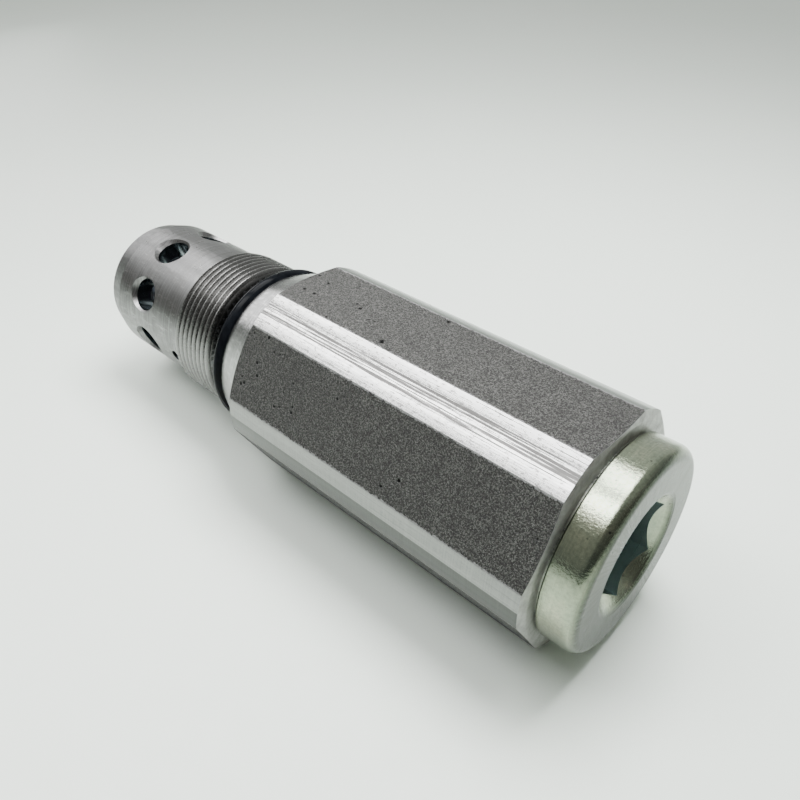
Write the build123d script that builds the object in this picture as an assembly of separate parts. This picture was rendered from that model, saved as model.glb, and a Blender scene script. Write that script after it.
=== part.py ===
from build123d import *
from build123d.topology import SkipClean
from math import cos, radians, sin, tan
import os

# Screw-in relief cartridge valve, lying on one flat of its hexagon.
# The valve axis is X. X = 0 is the seating shoulder that meets the manifold,
# the nose goes to -X and the wrench end to +X. Z is up. All sizes are in mm.
# Every profile is a list of (x, radius) points turned about the X axis.

# Hexagonal body
HEX_AF = 41.0              # across flats
CORNER_R = 21.86           # hexagon corners turned down to this radius
SHOULDER_R = 17.45         # outer edge of the seating shoulder
BODY_END = 76.7            # rear face of the body

# Port thread M33 x 1.5 and the sealing undercut behind it
THREAD_R = 16.5
THREAD_ROOT_R = 15.58
THREAD_PITCH = 1.5
THREAD_START = -18.3
THREAD_END = -6.2
UNDERCUT_R = 14.85
O_RING_R = 1.5             # half the section of the O-ring in the undercut

# Nose with eight radial outlet ports and one vent
NOSE_R = 15.5
NOSE_FRONT = -46.4
PORT_X = -32.4
PORT_COUNT = 8
PORT_R = 3.55
PORT_MOUTH_R = 4.5
PORT_FIRST_ANGLE = 17.5
VENT_X = -20.5
VENT_R = 1.25
VENT_ANGLE = 191.5

# Bores of the body, front to rear
SEAT_BORE_R = 12.0
SEAT_SHOULDER = -37.6
GALLERY_R = 11.0
CHAMBER_FRONT = -17.5
CHAMBER_R = 12.5
CHAMBER_END = 58.0
PLUG_BORE_R = 15.0
SEAL_BORE_R = 16.6
SEAL_BORE_START = 73.2
SNAP_GROOVE = (-14.95, -13.7)

# Seat and poppet
ORIFICE_R = 5.0
SEAT_FRONT = -43.4
STEM_R = 4.0
POPPET_FRONT = -45.0
POPPET_TAIL = -7.0
POPPET_LIFT = 3.0
RUN = 0.05                 # radial running clearance of the sliding fits
FIT = 0.02                 # radial gap between assembled pieces

# Spring set
WIRE_R = 2.1
COIL_R = 9.6
COILS = 8
SPRING_FRONT = -9.0
SPRING_REAR = 50.0
SHIMS = {"shim_thick": 1.0, "shim_medium": 0.5, "shim_thin": 0.3}

# End plug M30 x 1.5 with a hexagon socket
PLUG_THREAD_R = 14.95
PLUG_THREAD_ROOT_R = 14.08
HEAD_R = 18.5
HEAD_BACK = 77.15
HEAD_FACE = 83.65
HEAD_FILLET = 2.0
SOCKET_AF = 17.0
SOCKET_BOTTOM = 70.6
SOCKET_MOUTH_R = 11.3
SOCKET_ANGLE = 23.0


def turned(*profile):
    """A solid of revolution about X from (x, radius) points."""
    outline = Polyline(*[(x, 0, r) for x, r in profile], close=True)
    return revolve(Face(Wire(outline.edges())), Axis.X, 360, clean=False).solid()


def ring(x0, x1, inner, outer):
    """A flat ring from x0 to x1."""
    return turned((x0, inner), (x1, inner), (x1, outer), (x0, outer))


def rod(x0, x1, radius):
    """A plain cylinder along X."""
    return turned((x0, 0), (x1, 0), (x1, radius), (x0, radius))


def o_ring(x, mean_r, section_r):
    """A round ring about X."""
    return Solid.make_torus(mean_r, section_r, Plane((x, 0, 0), z_dir=(1, 0, 0)))


def along(angle, radius=0.0, x=0.0):
    """A plane at an angle about X whose normal points outward. Zero is +Y."""
    out = (0, cos(radians(angle)), sin(radians(angle)))
    origin = (x, out[1] * radius, out[2] * radius)
    return Plane(origin, x_dir=(1, 0, 0), z_dir=out)


def cross_hole(x, angle, radius, start, end):
    """A round hole that leaves the axis at an angle, from one radius to another."""
    return Solid.make_cylinder(radius, end - start, along(angle, start, x))


def hexagon(x0, x1, across_flats, angle=0.0):
    """A hexagonal prism along X, with corners at angle + 60 k degrees."""
    base = Plane((x0, 0, 0), x_dir=(0, 1, 0), z_dir=(1, 0, 0))
    section = RegularPolygon(across_flats / 2, 6, major_radius=False, rotation=angle)
    return extrude(base * section, x1 - x0).solid()


def thread_groove(x0, x1, root_r, outer_r, pitch):
    """The helical groove of an external 60 degree thread, as a cutting solid."""
    half_root = pitch / 12
    half_outer = half_root + (outer_r - root_r) * tan(radians(30))
    corners = [
        (root_r, -half_root),
        (outer_r, -half_outer),
        (outer_r, half_outer),
        (root_r, half_root),
    ]
    edges = [
        Helix(pitch, x1 - x0, r, center=(x0 + dx, 0, 0), direction=(1, 0, 0))
        for r, dx in corners
    ]
    sides = [Face.make_surface_from_curves(edges[i], edges[i - 3]) for i in range(4)]
    ends = [
        Face(Wire(Polyline(*[edge @ at for edge in edges], close=True).edges()))
        for at in (0, 1)
    ]
    return Solid(Shell(sides + ends))


def minus(solid, *tools):
    """Cut tools from a solid one after another, leaving every face as it is."""
    with SkipClean():
        for tool in tools:
            solid = (solid - tool).solid()
    return solid


def ports():
    """Outlet drillings with their countersunk mouths."""
    tools = []
    for k in range(PORT_COUNT):
        angle = PORT_FIRST_ANGLE + 360 / PORT_COUNT * k
        tools.append(cross_hole(PORT_X, angle, PORT_R, GALLERY_R - 2, NOSE_R + 2))
        depth = PORT_MOUTH_R - PORT_R
        mouth = along(angle, NOSE_R - depth, PORT_X)
        tools.append(Solid.make_cone(PORT_R, PORT_MOUTH_R + 1, depth + 1, mouth))
    return tools


def make_valve_body():
    blank = turned(
        (NOSE_FRONT, SEAT_BORE_R + 0.5),
        (NOSE_FRONT, 14.2),
        (-41.6, NOSE_R),
        (-37.0, NOSE_R),
        (THREAD_START, NOSE_R),
        (THREAD_START + 1, THREAD_R),
        (THREAD_END, THREAD_R),
        (THREAD_END + 1.2, UNDERCUT_R),
        (0, UNDERCUT_R),
        (0, SHOULDER_R - 0.3),
        (0.3, SHOULDER_R),
        (7.9, 20.35),
        (8.9, CORNER_R),
        (76.3, CORNER_R),
        (BODY_END, 19.95),
        (BODY_END, SEAL_BORE_R + 0.3),
        (BODY_END - 0.3, SEAL_BORE_R),
        (SEAL_BORE_START, SEAL_BORE_R),
        (SEAL_BORE_START, PLUG_BORE_R),
        (CHAMBER_END + 2.5, PLUG_BORE_R),
        (CHAMBER_END + 2.5, PLUG_BORE_R + 0.3),
        (CHAMBER_END, PLUG_BORE_R + 0.3),
        (CHAMBER_END, CHAMBER_R),
        (SNAP_GROOVE[1], CHAMBER_R),
        (SNAP_GROOVE[1], CHAMBER_R + 0.7),
        (SNAP_GROOVE[0], CHAMBER_R + 0.7),
        (SNAP_GROOVE[0], CHAMBER_R),
        (CHAMBER_FRONT, CHAMBER_R),
        (CHAMBER_FRONT, GALLERY_R),
        (SEAT_SHOULDER, GALLERY_R),
        (SEAT_SHOULDER, SEAT_BORE_R),
        (NOSE_FRONT + 0.5, SEAT_BORE_R),
    )
    with SkipClean():
        body = (blank & hexagon(NOSE_FRONT - 1, BODY_END + 1, HEX_AF)).solid()
    groove = thread_groove(-19.8, -4.3, THREAD_ROOT_R, THREAD_R + 0.12, THREAD_PITCH)
    vent = cross_hole(VENT_X, VENT_ANGLE, VENT_R, GALLERY_R - 1, NOSE_R + 1)
    return minus(body, *ports(), vent, groove)


def make_seat_ring():
    """Pressed-in seat: inlet orifice in front, 45 degree seat cone behind."""
    outer = SEAT_BORE_R - FIT
    groove_r = 10.2
    return turned(
        (SEAT_FRONT, ORIFICE_R + 0.8),
        (SEAT_FRONT, outer),
        (-41.6, outer),
        (-41.6, groove_r),
        (-38.9, groove_r),
        (-38.9, outer),
        (SEAT_SHOULDER, outer),
        (SEAT_SHOULDER, ORIFICE_R + 1.2),
        (SEAT_SHOULDER - 1.2, ORIFICE_R),
        (SEAT_FRONT + 0.8, ORIFICE_R),
    )


def make_seat_retainer():
    """Threaded ring that holds the seat, with four spanner slots in its face."""
    body = turned(
        (-46.2, 8.4),
        (-46.2, 11.5),
        (-45.7, SEAT_BORE_R - FIT),
        (SEAT_FRONT, SEAT_BORE_R - FIT),
        (SEAT_FRONT, 7.2),
        (-45.0, 7.2),
    )
    slots = []
    for k in range(4):
        place = Pos(-45.5, 0, 0) * Rot(45 + 90 * k, 0, 0) * Pos(0, 9.8, 0)
        slots.append(place * Box(1.6, 3.2, 2.6))
    return minus(body, *slots)


def make_poppet():
    """Damping piston, seat cone, head and guide stem in one piece."""
    cone_x = -39.9
    cone_r = ORIFICE_R + (cone_x - (SEAT_SHOULDER - 1.2)) - 0.07
    head_x = -36.6
    head_r = cone_r + head_x - cone_x
    piston_r = ORIFICE_R - RUN
    body = turned(
        (POPPET_FRONT, 0),
        (POPPET_TAIL, 0),
        (POPPET_TAIL, STEM_R - 0.6),
        (POPPET_TAIL - 0.6, STEM_R),
        (-30.8, STEM_R),
        (-33.4, head_r),
        (head_x, head_r),
        (cone_x, cone_r),
        (cone_x, 3.4),
        (-41.0, 3.4),
        (-41.0, piston_r),
        (POPPET_FRONT + 0.4, piston_r),
        (POPPET_FRONT, piston_r - 0.4),
    )
    flats = [
        Pos(-43.0, 0, 0) * Rot(30 + 120 * k, 0, 0) * Pos(0, 6.2, 0) * Box(4.4, 4.0, 10)
        for k in range(3)
    ]
    counterbore = rod(POPPET_FRONT - 1, -41.5, 2.02)
    drilling = rod(-42.0, -40.0, 1.25)
    cross = cross_hole(-40.45, 90, 0.5, -6, 6)
    return minus(body, *flats, counterbore, drilling, cross)


def make_damping_orifice():
    """Socket screw with a fine drilling, in the nose of the poppet."""
    screw = turned(
        (POPPET_FRONT, 0.45), (POPPET_FRONT, 1.8), (-44.8, 2.0), (-41.5, 2.0), (-41.5, 0.45)
    )
    return minus(screw, hexagon(POPPET_FRONT - 1, -43.2, 2.0))


def make_guide_bushing():
    """Guides the stem, damps it, and lets the spring chamber reach the vent."""
    outer = GALLERY_R - FIT
    bore = STEM_R + RUN
    body = turned(
        (-26.0, bore + 0.5),
        (-26.0, outer - 0.5),
        (-25.5, outer),
        (-21.8, outer),
        (-21.8, 9.8),
        (-19.2, 9.8),
        (-19.2, outer),
        (CHAMBER_FRONT, outer),
        (CHAMBER_FRONT, CHAMBER_R - FIT),
        (-15.0, CHAMBER_R - FIT),
        (-15.0, bore),
        (-22.0, bore),
        (-22.0, 5.7),
        (-24.0, 5.7),
        (-24.0, bore),
        (-25.5, bore),
    )
    passages = []
    for k in range(3):
        at = Rot(60 + 120 * k, 0, 0) * Pos(-20.6, 8.9, 0) * Rot(0, 90, 0)
        passages.append(at * Cylinder(1.0, 6.0, align=(Align.CENTER, Align.CENTER, Align.MIN)))
    return minus(body, *passages)


def make_snap_ring():
    """Spring-steel ring in its groove, open over a fifth of a turn."""
    whole = ring(-14.9, -13.75, 11.6, CHAMBER_R + 0.6)
    gap = Pos(-14.3, 0, -12.4) * Box(3, 7, 4)
    return minus(whole, gap)


def make_front_spring_plate():
    """Carries the spring on the tail of the poppet."""
    return turned(
        (-12.0, STEM_R + 0.1),
        (-12.0, 11.6),
        (-11.5, 12.1),
        (SPRING_FRONT, 12.1),
        (SPRING_FRONT, 7.2),
        (-3.8, 7.2),
        (-3.0, 6.4),
        (-3.0, 0),
        (POPPET_TAIL, 0),
        (POPPET_TAIL, STEM_R + 0.1),
    )


def make_spring():
    """Coil spring with its two ends ground flat."""
    start = SPRING_FRONT - WIRE_R
    length = SPRING_REAR - SPRING_FRONT + 2 * WIRE_R
    path = Helix(length / COILS, length, COIL_R, center=(start, 0, 0), direction=(1, 0, 0))
    section = Plane(path @ 0, z_dir=path % 0) * Circle(WIRE_R)
    coil = sweep(section, path=path, is_frenet=True)
    middle = (SPRING_FRONT + SPRING_REAR) / 2
    window = Pos(middle, 0, 0) * Box(SPRING_REAR - SPRING_FRONT, 40, 40)
    return (coil & window).solid()


def make_rear_spring_plate():
    return turned(
        (44.8, 7.2),
        (SPRING_REAR, 7.2),
        (SPRING_REAR, 12.2),
        (53.5, 12.2),
        (53.5, 0),
        (52.0, 0),
        (52.0, 5.0 + FIT),
        (44.0, 5.0 + FIT),
        (44.0, 6.4),
    )


def make_lift_stop():
    """Rod inside the spring that stops the opening stroke of the poppet."""
    tip = -3.0 + POPPET_LIFT + 0.05
    return turned((tip, 0), (52.0, 0), (52.0, 5.0), (tip + 0.6, 5.0), (tip, 4.4))


def make_shims():
    pieces = {}
    x = 53.5
    for name, thickness in SHIMS.items():
        pieces[name] = ring(x, x + thickness, 4.5, 12.0)
        x += thickness
    return pieces, x


def make_end_plug(shank_front):
    """Screw plug: pilot, thread, seal groove, round head with a hexagon socket."""
    seal_r = 14.0
    blank = turned(
        (shank_front, 0),
        (shank_front, 11.7),
        (shank_front + 0.5, 12.2),
        (59.0, 12.2),
        (59.0, PLUG_THREAD_ROOT_R),
        (59.9, PLUG_THREAD_R),
        (72.4, PLUG_THREAD_R),
        (73.2, seal_r),
        (BODY_END, seal_r),
        (BODY_END, 17.6),
        (HEAD_BACK, 17.6),
        (HEAD_BACK, HEAD_R - 0.3),
        (HEAD_BACK + 0.3, HEAD_R),
        (HEAD_FACE, HEAD_R),
        (HEAD_FACE, 0),
    )
    rim = blank.edges().filter_by(GeomType.CIRCLE).sort_by(Axis.X)[-1]
    blank = blank.fillet(HEAD_FILLET, [rim])
    flat_r = SOCKET_AF / 2
    mouth = turned(
        (HEAD_FACE - 2.4, 0),
        (HEAD_FACE - 2.4, flat_r),
        (HEAD_FACE - 0.45, flat_r + 1.95),
        (HEAD_FACE - 0.15, SOCKET_MOUTH_R - 0.45),
        (HEAD_FACE, SOCKET_MOUTH_R),
        (HEAD_FACE + 0.5, SOCKET_MOUTH_R),
        (HEAD_FACE + 0.5, 0),
    )
    socket = hexagon(SOCKET_BOTTOM, HEAD_FACE + 1, SOCKET_AF, SOCKET_ANGLE)
    drill = turned((SOCKET_BOTTOM - 2.2, 0), (SOCKET_BOTTOM + 0.1, 8.2), (SOCKET_BOTTOM + 0.1, 0))
    groove = thread_groove(57.5, 75.3, PLUG_THREAD_ROOT_R, PLUG_THREAD_R + 0.12, THREAD_PITCH)
    return minus(blank, mouth, socket, drill, groove)


def make_parts():
    shims, shank_front = make_shims()
    return {
        "valve_body": make_valve_body(),
        "body_o_ring": o_ring(-FIT - O_RING_R, UNDERCUT_R + FIT + O_RING_R, O_RING_R),
        "seat_ring": make_seat_ring(),
        "seat_o_ring": o_ring(-40.7, 11.08, 0.87),
        "seat_backup_ring": ring(-39.8, -38.95, 10.22, SEAT_BORE_R - FIT),
        "seat_retainer": make_seat_retainer(),
        "poppet": make_poppet(),
        "damping_orifice": make_damping_orifice(),
        "guide_bushing": make_guide_bushing(),
        "stem_o_ring": o_ring(-23.0, 4.88, 0.8),
        "bushing_snap_ring": make_snap_ring(),
        "front_spring_plate": make_front_spring_plate(),
        "main_spring": make_spring(),
        "rear_spring_plate": make_rear_spring_plate(),
        "lift_stop": make_lift_stop(),
        **shims,
        "end_plug": make_end_plug(shank_front),
        "plug_o_ring": o_ring(74.6, 15.3, 1.26),
        "plug_backup_ring": ring(75.9, 76.65, 14.05, SEAL_BORE_R - 0.05),
    }


os.makedirs("parts", exist_ok=True)
for name, piece in make_parts().items():
    piece.label = name
    export_step(piece, f"parts/{name}.step")
    print(name, round(piece.volume, 1))
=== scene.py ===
import math
import bpy
from mathutils import Matrix, Vector


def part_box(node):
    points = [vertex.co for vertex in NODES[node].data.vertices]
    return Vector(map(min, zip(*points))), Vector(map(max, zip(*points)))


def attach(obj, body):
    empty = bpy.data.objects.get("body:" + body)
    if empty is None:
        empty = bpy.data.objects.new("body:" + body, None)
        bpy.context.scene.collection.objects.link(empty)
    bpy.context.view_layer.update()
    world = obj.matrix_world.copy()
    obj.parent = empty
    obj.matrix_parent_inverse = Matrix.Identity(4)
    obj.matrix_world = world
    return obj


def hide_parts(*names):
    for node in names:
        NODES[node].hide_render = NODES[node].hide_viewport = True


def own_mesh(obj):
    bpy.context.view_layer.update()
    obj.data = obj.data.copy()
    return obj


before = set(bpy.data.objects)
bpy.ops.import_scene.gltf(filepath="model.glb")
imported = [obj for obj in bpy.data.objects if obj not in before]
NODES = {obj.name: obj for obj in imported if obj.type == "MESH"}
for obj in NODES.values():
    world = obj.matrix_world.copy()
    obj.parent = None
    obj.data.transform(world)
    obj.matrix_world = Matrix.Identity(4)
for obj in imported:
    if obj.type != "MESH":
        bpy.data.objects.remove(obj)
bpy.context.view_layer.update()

MM = 0.001

# Places on the part in millimetres: X is along the axis from the seating shoulder, R is from the axis,
# and DEG is an angle round it, 0 at +Y and 90 at +Z.
HEX_APOTHEM = 20.5
CORNER_R = 21.86
MARKED_CORNER_DEG = 120
PORT_X = -32.4
PORT_REACH = 3.8
PORT_WALL_R = (10.3, 15.3)
VENT_X = -20.5
VENT_REACH = 1.3
NOSE_SKIN_R = 15.4
NOSE_EDGE_X = -42.0
THREAD_X = (-18.4, -4.9)
THREAD_ROOT_R = 15.45
UNDERCUT_X = (-6.3, -0.2)
SHOULDER_X = -0.3
CONE_END_X = 8.8
PLUG_BORE_X = 50.0
PLUG_BORE_R = 17.2
REAR_END_X = 76.25
PLUG_HEAD_X = 77.1
PLUG_SHANK_R = 9.9
SOCKET_R = 9.95
SOCKET_MOUTH_X = 81.0


# ---------------------------------------------------------------- node helpers
class Tree:
    """A node tree, with short calls for the nodes used here."""

    def __init__(self, tree):
        self.tree = tree

    def node(self, kind, inputs=None, **settings):
        made = self.tree.nodes.new(kind)
        for key, value in settings.items():
            setattr(made, key, value)
        for key, value in (inputs or {}).items():
            self.put(made.inputs[key], value)
        return made

    def put(self, socket, value):
        if isinstance(value, bpy.types.NodeSocket):
            self.tree.links.new(value, socket)
        else:
            socket.default_value = value

    def math(self, operation, a, b=0.0, clamp=False):
        made = self.node("ShaderNodeMath", {0: a, 1: b}, operation=operation, use_clamp=clamp)
        return made.outputs[0]

    def ramp(self, value, stops):
        """A colour, or a plain number repeated as grey, for each place along the value."""
        made = self.node("ShaderNodeValToRGB", {0: value})
        elements = made.color_ramp.elements
        while len(elements) < len(stops):
            elements.new(0.5)
        for element, (place, colour) in zip(elements, stops):
            element.position = place
            if isinstance(colour, (int, float)):
                colour = (colour, colour, colour)
            element.color = (*colour, 1.0)
        return made.outputs[0]

    def fit(self, value, low, high, to_low=0.0, to_high=1.0):
        """The value moved from one range to another, and held inside it."""
        made = self.node("ShaderNodeMapRange", {
            "Value": value, "From Min": low, "From Max": high, "To Min": to_low, "To Max": to_high})
        return made.outputs[0]


class Graph(Tree):
    """A material and its node tree."""

    def __init__(self, name):
        self.mat = bpy.data.materials.new(name)
        self.mat.use_nodes = True
        super().__init__(self.mat.node_tree)
        self.shader = self.tree.nodes["Principled BSDF"]
        self._mm = None

    def set(self, **values):
        for key, value in values.items():
            self.put(self.shader.inputs[key.replace("_", " ")], value)

    def mm(self):
        """Position on the object in millimetres."""
        if self._mm is None:
            inputs = {0: self.node("ShaderNodeTexCoord").outputs["Object"], "Scale": 1 / MM}
            self._mm = self.node("ShaderNodeVectorMath", inputs, operation="SCALE").outputs[0]
        return self._mm

    def xyz(self):
        return self.node("ShaderNodeSeparateXYZ", {0: self.mm()}).outputs

    def radius(self):
        _, y, z = self.xyz()
        squares = self.math("ADD", self.math("MULTIPLY", y, y), self.math("MULTIPLY", z, z))
        return self.math("SQRT", squares)

    def angle(self):
        """Angle round the axis in radians, 0 at +Y and a quarter turn at +Z."""
        _, y, z = self.xyz()
        return self.math("ARCTAN2", z, y)

    def turn_from(self, degrees):
        """How far round the axis a point is from an angle, in radians."""
        return self.math("ABSOLUTE", self.math("SUBTRACT", self.angle(), math.radians(degrees)))

    def around(self, along_x, along_arc, radius):
        """Unrolled coordinates: X along the axis, Y along the circumference."""
        x = self.xyz()[0]
        arc = self.math("MULTIPLY", self.angle(), radius * along_arc)
        joined = self.node("ShaderNodeCombineXYZ", {0: self.math("MULTIPLY", x, along_x), 1: arc, 2: 0.0})
        return joined.outputs[0]

    def across(self, scale):
        """A coordinate that changes only with the distance from the axis, for rings on a flat end."""
        scaled = self.math("MULTIPLY", self.radius(), scale)
        return self.node("ShaderNodeCombineXYZ", {0: scaled, 1: 0.0, 2: 0.0}).outputs[0]

    def noise(self, vector=None, scale=1.0, detail=2.0, rough=0.5):
        made = self.node("ShaderNodeTexNoise", {
            "Vector": vector if vector is not None else self.mm(),
            "Scale": scale, "Detail": detail, "Roughness": rough})
        return made.outputs[0]

    def cells(self, vector=None, scale=1.0):
        """Distance to the nearest of many scattered points."""
        made = self.node("ShaderNodeTexVoronoi", {
            "Vector": vector if vector is not None else self.mm(), "Scale": scale})
        return made.outputs["Distance"]

    def mix(self, factor, a, b, blend="MIX"):
        made = self.node("ShaderNodeMix", data_type="RGBA", blend_type=blend)
        for index, value in ((0, factor), (6, a), (7, b)):
            if isinstance(value, tuple) and len(value) == 3:
                value = (*value, 1.0)
            self.put(made.inputs[index], value)
        return made.outputs[2]

    def shade(self, factor, tone, by):
        """The tone, multiplied by a colour where the factor is 1."""
        return self.mix(factor, tone, self.mix(1.0, tone, by, blend="MULTIPLY"))

    def blend(self, factor, a, b):
        made = self.node("ShaderNodeMix", data_type="FLOAT")
        for index, value in ((0, factor), (2, a), (3, b)):
            self.put(made.inputs[index], value)
        return made.outputs[0]

    def bump(self, height, distance, strength):
        """Surface relief, with the distance in millimetres."""
        inputs = {"Height": height, "Distance": distance * MM, "Strength": strength}
        return self.node("ShaderNodeBump", inputs).outputs[0]


# ---------------------------------------------------------------- materials
def flats_material():
    """Rolled hexagon bar: dark warm grey scale, granular, pitted towards the front, scraped at edges."""
    g = Graph("mill_scale_flats")
    grain = g.noise(scale=3.3, detail=4.0, rough=0.75)
    speck = g.noise(scale=5.0, detail=2.0, rough=0.6)
    coarse = g.noise(scale=0.35, detail=3.0, rough=0.6)
    broad = g.noise(scale=0.05, detail=2.0)
    cells = g.cells(g.around(1.0, 1.0, HEX_APOTHEM), scale=0.48)
    front = g.fit(g.xyz()[0], 48.0, 12.0, 0.62, 0.47)
    pit_gate = g.math("SUBTRACT", g.noise(scale=0.24, detail=2.0), front)
    pit = g.math("MULTIPLY", g.fit(cells, 0.20, 0.12), g.fit(pit_gate, 0.0, 0.05), clamp=True)
    tone = g.ramp(grain, [(0.38, (0.0004, 0.0004, 0.0004)),
                          (0.5, (0.0085, 0.0085, 0.0078)),
                          (0.64, (0.095, 0.095, 0.088))])
    tone = g.mix(g.fit(speck, 0.56, 0.66, 0.0, 0.95), tone, (0.13, 0.13, 0.122))
    tone = g.mix(g.fit(coarse, 0.35, 0.65, 0.0, 0.25), tone, (0.013, 0.0125, 0.011))
    tone = g.mix(g.fit(broad, 0.3, 0.7, 0.0, 0.2), tone, (0.021, 0.0205, 0.020))
    tone = g.mix(pit, tone, (0.004, 0.004, 0.004))
    ragged = g.noise(scale=1.6, detail=3.0, rough=0.6)
    edge = g.math("ADD", g.radius(), g.math("MULTIPLY", ragged, 0.35))
    edge = g.fit(edge, CORNER_R + 0.06, CORNER_R + 0.12)
    bright = g.ramp(grain, [(0.2, 0.18), (0.8, 0.32)])
    g.set(Base_Color=g.mix(edge, tone, bright),
          Metallic=g.math("MAXIMUM", g.blend(edge, 0.35, 1.0), pit),
          Roughness=g.blend(edge, g.fit(grain, 0.3, 0.7, 0.66, 0.46), 0.28))
    raised = g.math("ADD", grain, g.math("MULTIPLY", speck, 0.4))
    height = g.math("SUBTRACT", raised, g.math("MULTIPLY", pit, 1.6))
    g.set(Normal=g.bump(height, 0.14, 0.9))
    return g.mat


def lathe_sheen(g, amount):
    """Gloss drawn out across the turning marks, as on a lathe-turned surface."""
    tangent = g.node("ShaderNodeTangent", direction_type="RADIAL", axis="X")
    g.set(Anisotropic=amount, Anisotropic_Rotation=0.25, Tangent=tangent.outputs[0])


def turned_material(name, radius, base, rough, sheen=0.6):
    """Turned steel: fine feed marks round the axis, clouding, rubbed patches, scratches and stains."""
    g = Graph(name)
    feed = g.noise(g.around(5.0, 0.03, radius), detail=4.0, rough=0.75)
    cloud = g.noise(scale=0.20, detail=4.0, rough=0.6)
    rubbed = g.noise(g.around(0.35, 0.9, radius), detail=4.0, rough=0.65)
    stain = g.noise(scale=0.9, detail=3.0, rough=0.6)
    scratch = g.noise(g.around(0.35, 3.2, radius), detail=3.0, rough=0.6)
    bright = (base * 2.0, base * 2.0, base * 1.95)
    tone = g.ramp(feed, [(0.30, base * 0.45), (0.5, base), (0.70, min(1.0, base * 1.6))])
    tone = g.mix(g.fit(cloud, 0.35, 0.7, 0.0, 0.3), tone, (base * 0.72, base * 0.71, base * 0.68))
    tone = g.mix(g.fit(rubbed, 0.52, 0.70, 0.0, 0.4), tone, bright)
    tone = g.mix(g.fit(scratch, 0.62, 0.72, 0.0, 0.5), tone, bright)
    tone = g.mix(g.fit(stain, 0.68, 0.76, 0.0, 0.5), tone, (base * 0.35, base * 0.34, base * 0.33))
    rubbed_rough = g.fit(rubbed, 0.3, 0.7, rough * 1.2, rough * 0.8)
    g.set(Base_Color=tone, Metallic=1.0,
          Roughness=g.math("ADD", rubbed_rough, g.fit(feed, 0.3, 0.7, -0.03, 0.03)))
    lathe_sheen(g, sheen)
    height = g.math("ADD", g.math("MULTIPLY", feed, 0.5), g.math("MULTIPLY", rubbed, 0.25))
    g.set(Normal=g.bump(height, 0.02, 0.55))
    return g.mat


def corner_material():
    """Turned corners of the hexagon: polished, with drawing lines heaviest on the upper one at -Y and a
    painted dark reflection along it; the other corners in painted shade.
    """
    g = Graph("drawn_hexagon_corners")
    lines = g.noise(g.around(0.03, 2.6, CORNER_R), detail=4.0, rough=0.7)
    wide = g.noise(g.around(0.015, 0.8, CORNER_R), detail=2.0)
    feed = g.noise(g.around(4.0, 0.05, CORNER_R), detail=3.0, rough=0.7)
    fleck = g.noise(g.around(0.8, 2.2, CORNER_R), detail=3.0, rough=0.7)
    turned = g.turn_from(MARKED_CORNER_DEG)
    heavy = g.fit(turned, 0.5, 0.2, 0.25, 1.0)
    # dark lines along the axis: drawing marks, painted denser within about 5° of 120° as a painted dark
    # reflection
    dark_reflection_band = g.fit(g.turn_from(MARKED_CORNER_DEG - 0.2), 0.090, 0.050, 0.0, 0.155)
    drawn_line_and_reflection = g.math("MULTIPLY", g.fit(g.math("SUBTRACT", lines, dark_reflection_band), 0.42, 0.35), heavy)
    dark_fleck = g.math("MULTIPLY", g.fit(fleck, 0.52, 0.64), g.math("MULTIPLY", heavy, 0.7))
    tone = g.ramp(feed, [(0.25, (0.33, 0.33, 0.325)), (0.75, (0.45, 0.45, 0.444))])
    tone = g.mix(g.fit(wide, 0.45, 0.65, 0.0, 0.4), tone, (0.55, 0.55, 0.54))
    # painted shade: corners more than about 30° from 120° at half the tone, those below about 75° round the
    # axis darker again
    tone = g.shade(g.fit(turned, 0.3, 0.5), tone, (0.50, 0.51, 0.50))
    tone = g.shade(g.fit(g.angle(), 1.4, 1.3), tone, (0.38, 0.39, 0.38))
    tone = g.mix(g.math("MULTIPLY", drawn_line_and_reflection, 0.92), tone, (0.022, 0.021, 0.020))
    tone = g.mix(dark_fleck, tone, (0.07, 0.069, 0.067))
    g.set(Base_Color=tone, Metallic=1.0,
          Roughness=g.math("ADD", g.fit(wide, 0.3, 0.7, 0.24, 0.14), g.math("MULTIPLY", drawn_line_and_reflection, 0.12)))
    lathe_sheen(g, 0.5)
    grooves = g.math("MULTIPLY", g.math("MULTIPLY", lines, heavy), 0.7)
    g.set(Normal=g.bump(g.math("ADD", grooves, g.math("MULTIPLY", feed, 0.2)), 0.03, 0.5))
    return g.mat


def thread_material():
    """Cut thread: crests painted bright as painted highlight, roots painted dark as painted shade."""
    g = Graph("cut_thread")
    root, crest = 15.68, 16.62
    grain = g.noise(g.around(2.0, 0.8, 16.0), detail=4.0, rough=0.7)
    depth = g.math("ADD", g.radius(), g.math("MULTIPLY", grain, 0.16))
    # colour by depth: painted shade in the roots, painted highlight on the crests
    tone = g.ramp(g.fit(depth, root, crest), [(0.0, (0.040, 0.040, 0.040)),
                                              (0.30, (0.13, 0.129, 0.127)),
                                              (0.70, (0.21, 0.208, 0.205)),
                                              (0.95, (0.28, 0.28, 0.275))])
    g.set(Base_Color=tone, Metallic=1.0, Roughness=g.fit(grain, 0.3, 0.7, 0.20, 0.32))
    g.set(Normal=g.bump(grain, 0.03, 0.5))
    return g.mat


def end_face_material():
    """Faced rear end of the bar: dull olive grey, turned rings."""
    g = Graph("faced_rear_end")
    rings = g.noise(g.across(4.0), detail=3.0)
    cloud = g.noise(scale=0.45, detail=4.0, rough=0.65)
    tone = g.ramp(cloud, [(0.3, (0.22, 0.22, 0.205)),
                          (0.5, (0.34, 0.34, 0.325)),
                          (0.7, (0.46, 0.46, 0.445))])
    tone = g.mix(g.fit(rings, 0.4, 0.65, 0.0, 0.3), tone, (0.50, 0.50, 0.485))
    g.set(Base_Color=tone, Metallic=0.75, Roughness=g.fit(cloud, 0.3, 0.7, 0.55, 0.42))
    g.set(Normal=g.bump(g.math("ADD", rings, cloud), 0.03, 0.5))
    return g.mat


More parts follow.
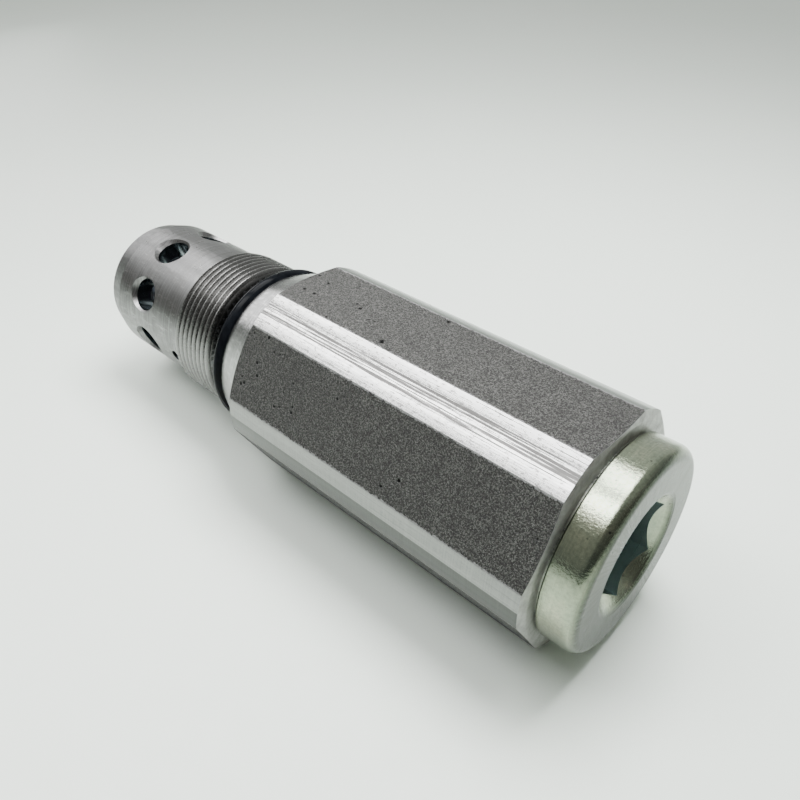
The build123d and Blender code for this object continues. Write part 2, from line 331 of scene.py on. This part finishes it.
def zinc_material(name, tones, rough, peel, dull=0.0):
    """Zinc plate with a thin yellow-green passivation, orange-peeled, brushed round the axis and scuffed.

    peel: how strong the orange peel is. dull: how far the flat outer face is painted darker, as painted
    shade, and made rougher than the rim.
    """
    g = Graph(name)
    plug_r = 18.0
    face_from, face_to = 82.7, 83.6
    outer = g.math("MULTIPLY", g.fit(g.xyz()[0], face_from, face_to), dull)
    rings = g.noise(g.around(6.0, 0.05, plug_r), detail=3.0, rough=0.65)
    face_rings = g.noise(g.across(5.0), detail=3.0)
    patch = g.noise(scale=0.14, detail=4.0, rough=0.6)
    fine = g.noise(scale=1.9, detail=4.0, rough=0.65)
    scuff = g.noise(g.around(0.25, 1.6, plug_r), detail=3.0, rough=0.6)
    cells = g.cells(scale=0.75)
    gate = g.noise(scale=0.3, detail=2.0)
    spot = g.math("MULTIPLY", g.fit(cells, 0.16, 0.10), g.fit(gate, 0.52, 0.60), clamp=True)
    low, middle, high = tones
    tone = g.ramp(patch, [(0.32, low), (0.5, middle), (0.68, high)])
    tone = g.mix(g.fit(fine, 0.40, 0.68, 0.0, 0.45), tone, tuple(c * 0.55 for c in low))
    tone = g.mix(g.fit(rings, 0.52, 0.70, 0.0, 0.35), tone, tuple(min(1.0, c * 1.25) for c in high))
    tone = g.mix(g.math("MULTIPLY", spot, 0.8), tone, (0.03, 0.03, 0.027))
    # painted shade: the flat outer face darkened to about 15 per cent of the rim's tone
    tone = g.shade(outer, tone, (0.148, 0.156, 0.162))
    patch_rough = g.fit(patch, 0.3, 0.7, rough * 0.8, rough * 1.25)
    roughness = g.math("ADD", patch_rough, g.fit(scuff, 0.45, 0.75, 0.0, 0.10))
    g.set(Base_Color=tone, Metallic=1.0,
          Roughness=g.math("ADD", roughness, g.math("MULTIPLY", outer, 0.14)))
    height = g.math("ADD", g.math("MULTIPLY", face_rings, 0.3), g.math("MULTIPLY", fine, peel))
    height = g.math("ADD", g.math("MULTIPLY", rings, 0.35), height)
    height = g.math("ADD", height, g.math("MULTIPLY", scuff, 0.4))
    g.set(Normal=g.bump(height, 0.05, 0.6))
    lathe_sheen(g, 0.35)
    return g.mat


def rubber_material():
    """Black nitrile rubber, faintly blue, with a little dust."""
    g = Graph("nitrile_rubber")
    fine = g.noise(scale=2.5, detail=3.0)
    dust = g.noise(scale=0.5, detail=2.0)
    tone = g.ramp(dust, [(0.3, (0.0022, 0.0026, 0.0034)), (0.7, (0.006, 0.007, 0.009))])
    g.set(Base_Color=tone, Roughness=g.fit(fine, 0.3, 0.7, 0.09, 0.16))
    g.set(Normal=g.bump(fine, 0.02, 0.4), Specular_IOR_Level=0.035)
    return g.mat


def plain_metal(name, colour, rough, radius):
    """Ground, drilled or coated parts, with faint turning lines."""
    g = Graph(name)
    feed = g.noise(g.around(6.0, 0.05, radius), detail=3.0)
    cloud = g.noise(scale=0.4, detail=3.0)
    dark = tuple(c * 0.7 for c in colour)
    g.set(Base_Color=g.mix(g.fit(cloud, 0.3, 0.7, 0.0, 0.6), colour, dark), Metallic=1.0,
          Roughness=g.fit(feed, 0.3, 0.7, rough * 0.8, rough * 1.2))
    g.set(Normal=g.bump(feed, 0.02, 0.5))
    return g.mat


def ptfe_material():
    """White PTFE of the backup rings."""
    g = Graph("ptfe")
    fine = g.noise(scale=1.5, detail=3.0)
    tone = g.ramp(fine, [(0.3, (0.72, 0.72, 0.70)), (0.7, (0.82, 0.82, 0.80))])
    g.set(Base_Color=tone, Roughness=g.fit(fine, 0.3, 0.7, 0.35, 0.5))
    g.set(Normal=g.bump(fine, 0.02, 0.4))
    return g.mat


def floor_material():
    """Pale, faintly green paper."""
    g = Graph("pale_paper_sweep")
    fibre = g.noise(scale=0.25, detail=4.0, rough=0.6)
    broad = g.noise(scale=0.006, detail=2.0)
    tone = g.mix(g.fit(broad, 0.35, 0.65), (0.775, 0.85, 0.78), (0.80, 0.87, 0.80))
    g.set(Base_Color=tone, Roughness=g.fit(fibre, 0.3, 0.7, 0.5, 0.62))
    g.set(Normal=g.bump(fibre, 0.05, 0.15))
    return g.mat


# ---------------------------------------------------------------- dressing the CAD nodes
FLAT, CORNER, NOSE, BORE, THREAD, REAR, SHOULDER, PORT, UNDERCUT, NOSE_EDGE = range(10)
HEAD, SOCKET, SHANK = range(3)


def hex_normal(k):
    """Outward direction of flat k of the hexagon."""
    angle = math.radians(30 + 60 * k)
    return Vector((0, math.cos(angle), math.sin(angle)))


HEX_NORMALS = [hex_normal(k) for k in range(6)]


def body_region(polygon):
    """Which finish a face of the valve body has."""
    centre, normal = polygon.center / MM, polygon.normal
    radial = Vector((0, centre.y, centre.z))
    from_axis = radial.length
    outward = normal.dot(radial.normalized())
    sideways = abs(outward) < 0.35
    for way in HEX_NORMALS:
        faces_out = normal.dot(way) > 0.9995
        on_plane = abs(centre.dot(way) - HEX_APOTHEM) < 0.02
        if faces_out and on_plane:
            return FLAT
    if centre.x > PLUG_BORE_X and from_axis < PLUG_BORE_R and normal.x < 0.9:
        return BORE
    if sideways and abs(centre.x - PORT_X) < PORT_REACH and PORT_WALL_R[0] < from_axis < PORT_WALL_R[1]:
        return PORT
    if outward < -0.3 and from_axis < NOSE_SKIN_R:
        return BORE
    if sideways and abs(centre.x - VENT_X) < VENT_REACH and from_axis < NOSE_SKIN_R:
        return BORE
    if UNDERCUT_X[0] < centre.x < UNDERCUT_X[1] and from_axis < THREAD_ROOT_R:
        return UNDERCUT
    if THREAD_X[0] < centre.x < THREAD_X[1] and from_axis > THREAD_ROOT_R:
        return THREAD
    if centre.x > REAR_END_X:
        return REAR
    if centre.x > CONE_END_X:
        return CORNER
    if centre.x < NOSE_EDGE_X and normal.x < -0.2:
        return NOSE_EDGE
    return SHOULDER if centre.x > SHOULDER_X else NOSE


def plug_region(polygon):
    """Which finish a face of the end plug has: plated head, wall of the key socket or hidden shank."""
    centre, normal = polygon.center / MM, polygon.normal
    from_axis = math.hypot(centre.y, centre.z)
    if centre.x < PLUG_HEAD_X and from_axis > PLUG_SHANK_R:
        return SHANK
    if from_axis < SOCKET_R and (centre.x < SOCKET_MOUTH_X or normal.x < 0.3):
        return SOCKET
    return HEAD


def dress_regions(name, materials, region):
    mesh = NODES[name].data
    mesh.materials.clear()
    for material in materials:
        mesh.materials.append(material)
    for polygon in mesh.polygons:
        polygon.material_index = region(polygon)


def dress(names, material):
    for name in names:
        mesh = NODES[name].data
        mesh.materials.clear()
        mesh.materials.append(material)


HEAD_TONES = ((0.24, 0.275, 0.21), (0.31, 0.35, 0.258), (0.37, 0.39, 0.29))
SHANK_TONES = ((0.40, 0.42, 0.38), (0.50, 0.52, 0.46), (0.54, 0.55, 0.47))

# the materials are in the order of the region numbers
dress_regions("valve_body", (
    flats_material(),
    corner_material(),
    turned_material("turned_nose", radius=15.5, base=0.172, rough=0.32, sheen=0.35),
    plain_metal("bored_steel", (0.14, 0.155, 0.165), rough=0.3, radius=12.0),
    thread_material(),
    end_face_material(),
    turned_material("turned_shoulder", radius=18.5, base=0.28, rough=0.21),
    plain_metal("drilled_port_walls", (0.30, 0.34, 0.36), rough=0.20, radius=4.0),
    # the undercut is plain steel painted nearly black: painted shade from the thread and the O-ring
    plain_metal("undercut_painted_shade", (0.11, 0.113, 0.115), rough=0.3, radius=14.85),
    # the lead chamfer is the nose's steel painted at about a third of its tone: painted shade
    turned_material("turned_nose_edge_painted_shade", radius=15.0, base=0.055, rough=0.34, sheen=0.35),
), body_region)
dress_regions("end_plug", (
    zinc_material("zinc_plated_head", HEAD_TONES, rough=0.135, peel=1.3, dull=1.0),
    plain_metal("socket_walls", (0.36, 0.45, 0.45), rough=0.34, radius=9.0),
    zinc_material("zinc_plated_shank", SHANK_TONES, rough=0.28, peel=0.3),
), plug_region)
dress(["body_o_ring", "seat_o_ring", "stem_o_ring", "plug_o_ring"], rubber_material())
dress(["seat_backup_ring", "plug_backup_ring"], ptfe_material())
dress(["seat_ring", "poppet", "front_spring_plate", "rear_spring_plate", "lift_stop"],
      plain_metal("hardened_ground", (0.42, 0.43, 0.45), rough=0.25, radius=8.0))
dress(["seat_retainer"],
      plain_metal("turned_retainer", (0.42, 0.42, 0.41), rough=0.3, radius=10.0))
dress(["damping_orifice", "bushing_snap_ring", "guide_bushing"],
      plain_metal("black_oxide", (0.05, 0.05, 0.055), rough=0.45, radius=4.0))
dress(["main_spring"],
      plain_metal("peened_spring_steel", (0.20, 0.20, 0.22), rough=0.42, radius=10.0))
dress(["shim_thick", "shim_medium", "shim_thin"],
      plain_metal("shim_steel", (0.48, 0.48, 0.46), rough=0.3, radius=10.0))


def make_working_spring():
    """The main spring as a piece of its own, attached to the housing in place of the imported one."""
    node = NODES["main_spring"]
    coil = bpy.data.objects.new("main_spring_coil", node.data.copy())
    bpy.context.scene.collection.objects.link(coil)
    coil.matrix_world = node.matrix_world.copy()
    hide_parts("main_spring")
    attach(coil, "housing")
    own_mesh(coil)


make_working_spring()


# ---------------------------------------------------------------- floor, light, camera
def make_floor():
    """A wide sheet of paper under the lowest edge of the body."""
    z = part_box("valve_body")[0].z
    half = 6.0
    corners = [(-half, -half, z), (half, -half, z), (half, half, z), (-half, half, z)]
    mesh = bpy.data.meshes.new("floor")
    mesh.from_pydata(corners, [], [(0, 1, 2, 3)])
    floor = bpy.data.objects.new("floor", mesh)
    bpy.context.scene.collection.objects.link(floor)
    mesh.materials.append(floor_material())


def make_world():
    """A dim studio: pale above and behind the valve, dark on the open side, dimmer along +X and -X."""
    world = bpy.data.worlds.new("studio")
    bpy.context.scene.world = world
    world.use_nodes = True
    background = world.node_tree.nodes["Background"]
    tree = Tree(world.node_tree)
    way = tree.node("ShaderNodeTexCoord").outputs["Generated"]
    x, _, z = tree.node("ShaderNodeSeparateXYZ", {0: way}).outputs
    # how far a direction turns to the open side, less the higher it points
    open_side = (0.50, -0.86, 0.0)
    side = tree.node("ShaderNodeVectorMath", {0: way, 1: open_side}, operation="DOT_PRODUCT")
    turn = tree.math("SUBTRACT", side.outputs["Value"], tree.math("MULTIPLY", z, 0.55))
    colour = tree.ramp(tree.fit(turn, -1.0, 1.0), [
        (0.0, (0.93, 0.96, 0.93)), (0.38, (0.95, 0.98, 0.95)), (0.44, (0.80, 0.81, 0.79)),
        (0.49, (0.52, 0.52, 0.50)), (0.58, (0.44, 0.43, 0.40)), (0.75, (0.36, 0.36, 0.34)),
        (1.0, (0.12, 0.15, 0.155))])
    ahead = tree.fit(x, 0.0, 0.35, 1.0, 0.45)
    behind = tree.fit(x, -0.7, -0.9, 1.0, 0.5)
    tree.put(background.inputs["Color"], colour)
    tree.put(background.inputs["Strength"], tree.math("MULTIPLY", ahead, behind))


def area_light(name, at, aim, size, radiance):
    """A rectangular light at one point, facing another, with its brightness as radiance."""
    data = bpy.data.lights.new(name, "AREA")
    data.shape = "RECTANGLE"
    data.size, data.size_y = size
    data.energy = radiance * math.pi * size[0] * size[1]
    light = bpy.data.objects.new(name, data)
    light.location = at
    light.rotation_mode = "QUATERNION"
    light.rotation_quaternion = (Vector(aim) - Vector(at)).to_track_quat("-Z", "Y")
    bpy.context.scene.collection.objects.link(light)
    return light


def strip_light(name, low, high, radiance, x0=-0.42, x1=0.10):
    """A panel overhead from x0 to x1, between two angles round the axis, for reflections only."""
    height = 0.40
    y0, y1 = (height / math.tan(math.radians(a)) for a in (low, high))
    centre = ((x0 + x1) / 2, (y0 + y1) / 2)
    panel = area_light(name, (*centre, height), (*centre, 0), (x1 - x0, abs(y1 - y0)), radiance)
    panel.visible_diffuse = False


def wall_panel(name, x, low, high, radiance):
    """An upright panel before the nose, between two (y, z) corners, for reflections only."""
    y, z = (low[0] + high[0]) / 2, (low[1] + high[1]) / 2
    size = (high[0] - low[0], high[1] - low[1])
    panel = area_light(name, (x, y, z), (0.0, y, z), size, radiance)
    panel.visible_diffuse = False


def soft_box(name, at, side, radiance):
    """A square light that reaches the paper and the dull faces but shows in no reflection."""
    valve_middle = (0.03, 0.0, 0.0)
    light = area_light(name, at, valve_middle, (side, side), radiance)
    light.visible_glossy = False


def make_camera():
    """Camera at the photograph's angle: azimuth from +X towards -Y, elevation and roll in degrees."""
    azimuth, elevation, roll = map(math.radians, (47.51, 37.34, 0.44))
    target = Vector((33.1, 0.0, 4.05)) * MM
    distance = 139.6
    level = math.cos(elevation)
    back = Vector((level * math.cos(azimuth), -level * math.sin(azimuth), math.sin(elevation)))
    side = Vector((0, 0, 1)).cross(back).normalized()
    above = back.cross(side)
    right = side * math.cos(roll) + above * math.sin(roll)
    up = above * math.cos(roll) - side * math.sin(roll)
    turned = Matrix((right, up, back)).transposed().to_4x4()
    data = bpy.data.cameras.new("camera")
    data.sensor_width = 36.0
    data.lens = 33.23
    data.clip_start = 0.005
    camera = bpy.data.objects.new("camera", data)
    camera.matrix_world = Matrix.Translation(target + back * distance * MM) @ turned
    bpy.context.scene.collection.objects.link(camera)
    bpy.context.scene.camera = camera


make_floor()
make_world()
strip_light("overhead_back", 66, 92, radiance=13.0)
strip_light("overhead_middle", 92, 100, radiance=1.4)
strip_light("overhead_front", 100, 117, radiance=15.0)
strip_light("overhead_edge", 117, 124, radiance=3.0)
strip_light("overhead_low", 116, 134, radiance=5.5, x0=-0.46, x1=-0.28)
soft_box("soft_box_right", (0.045, 0.078, 0.27), side=0.15, radiance=28.5)
soft_box("soft_box_left", (-0.077, -0.120, 0.27), side=0.14, radiance=11.0)
soft_box("soft_box_far", (-0.245, 0.045, 0.45), side=0.70, radiance=0.75)
wall_panel("wall_before_nose", x=-0.50, low=(-0.025, 0.015), high=(0.20, 0.135), radiance=4.5)
make_camera()
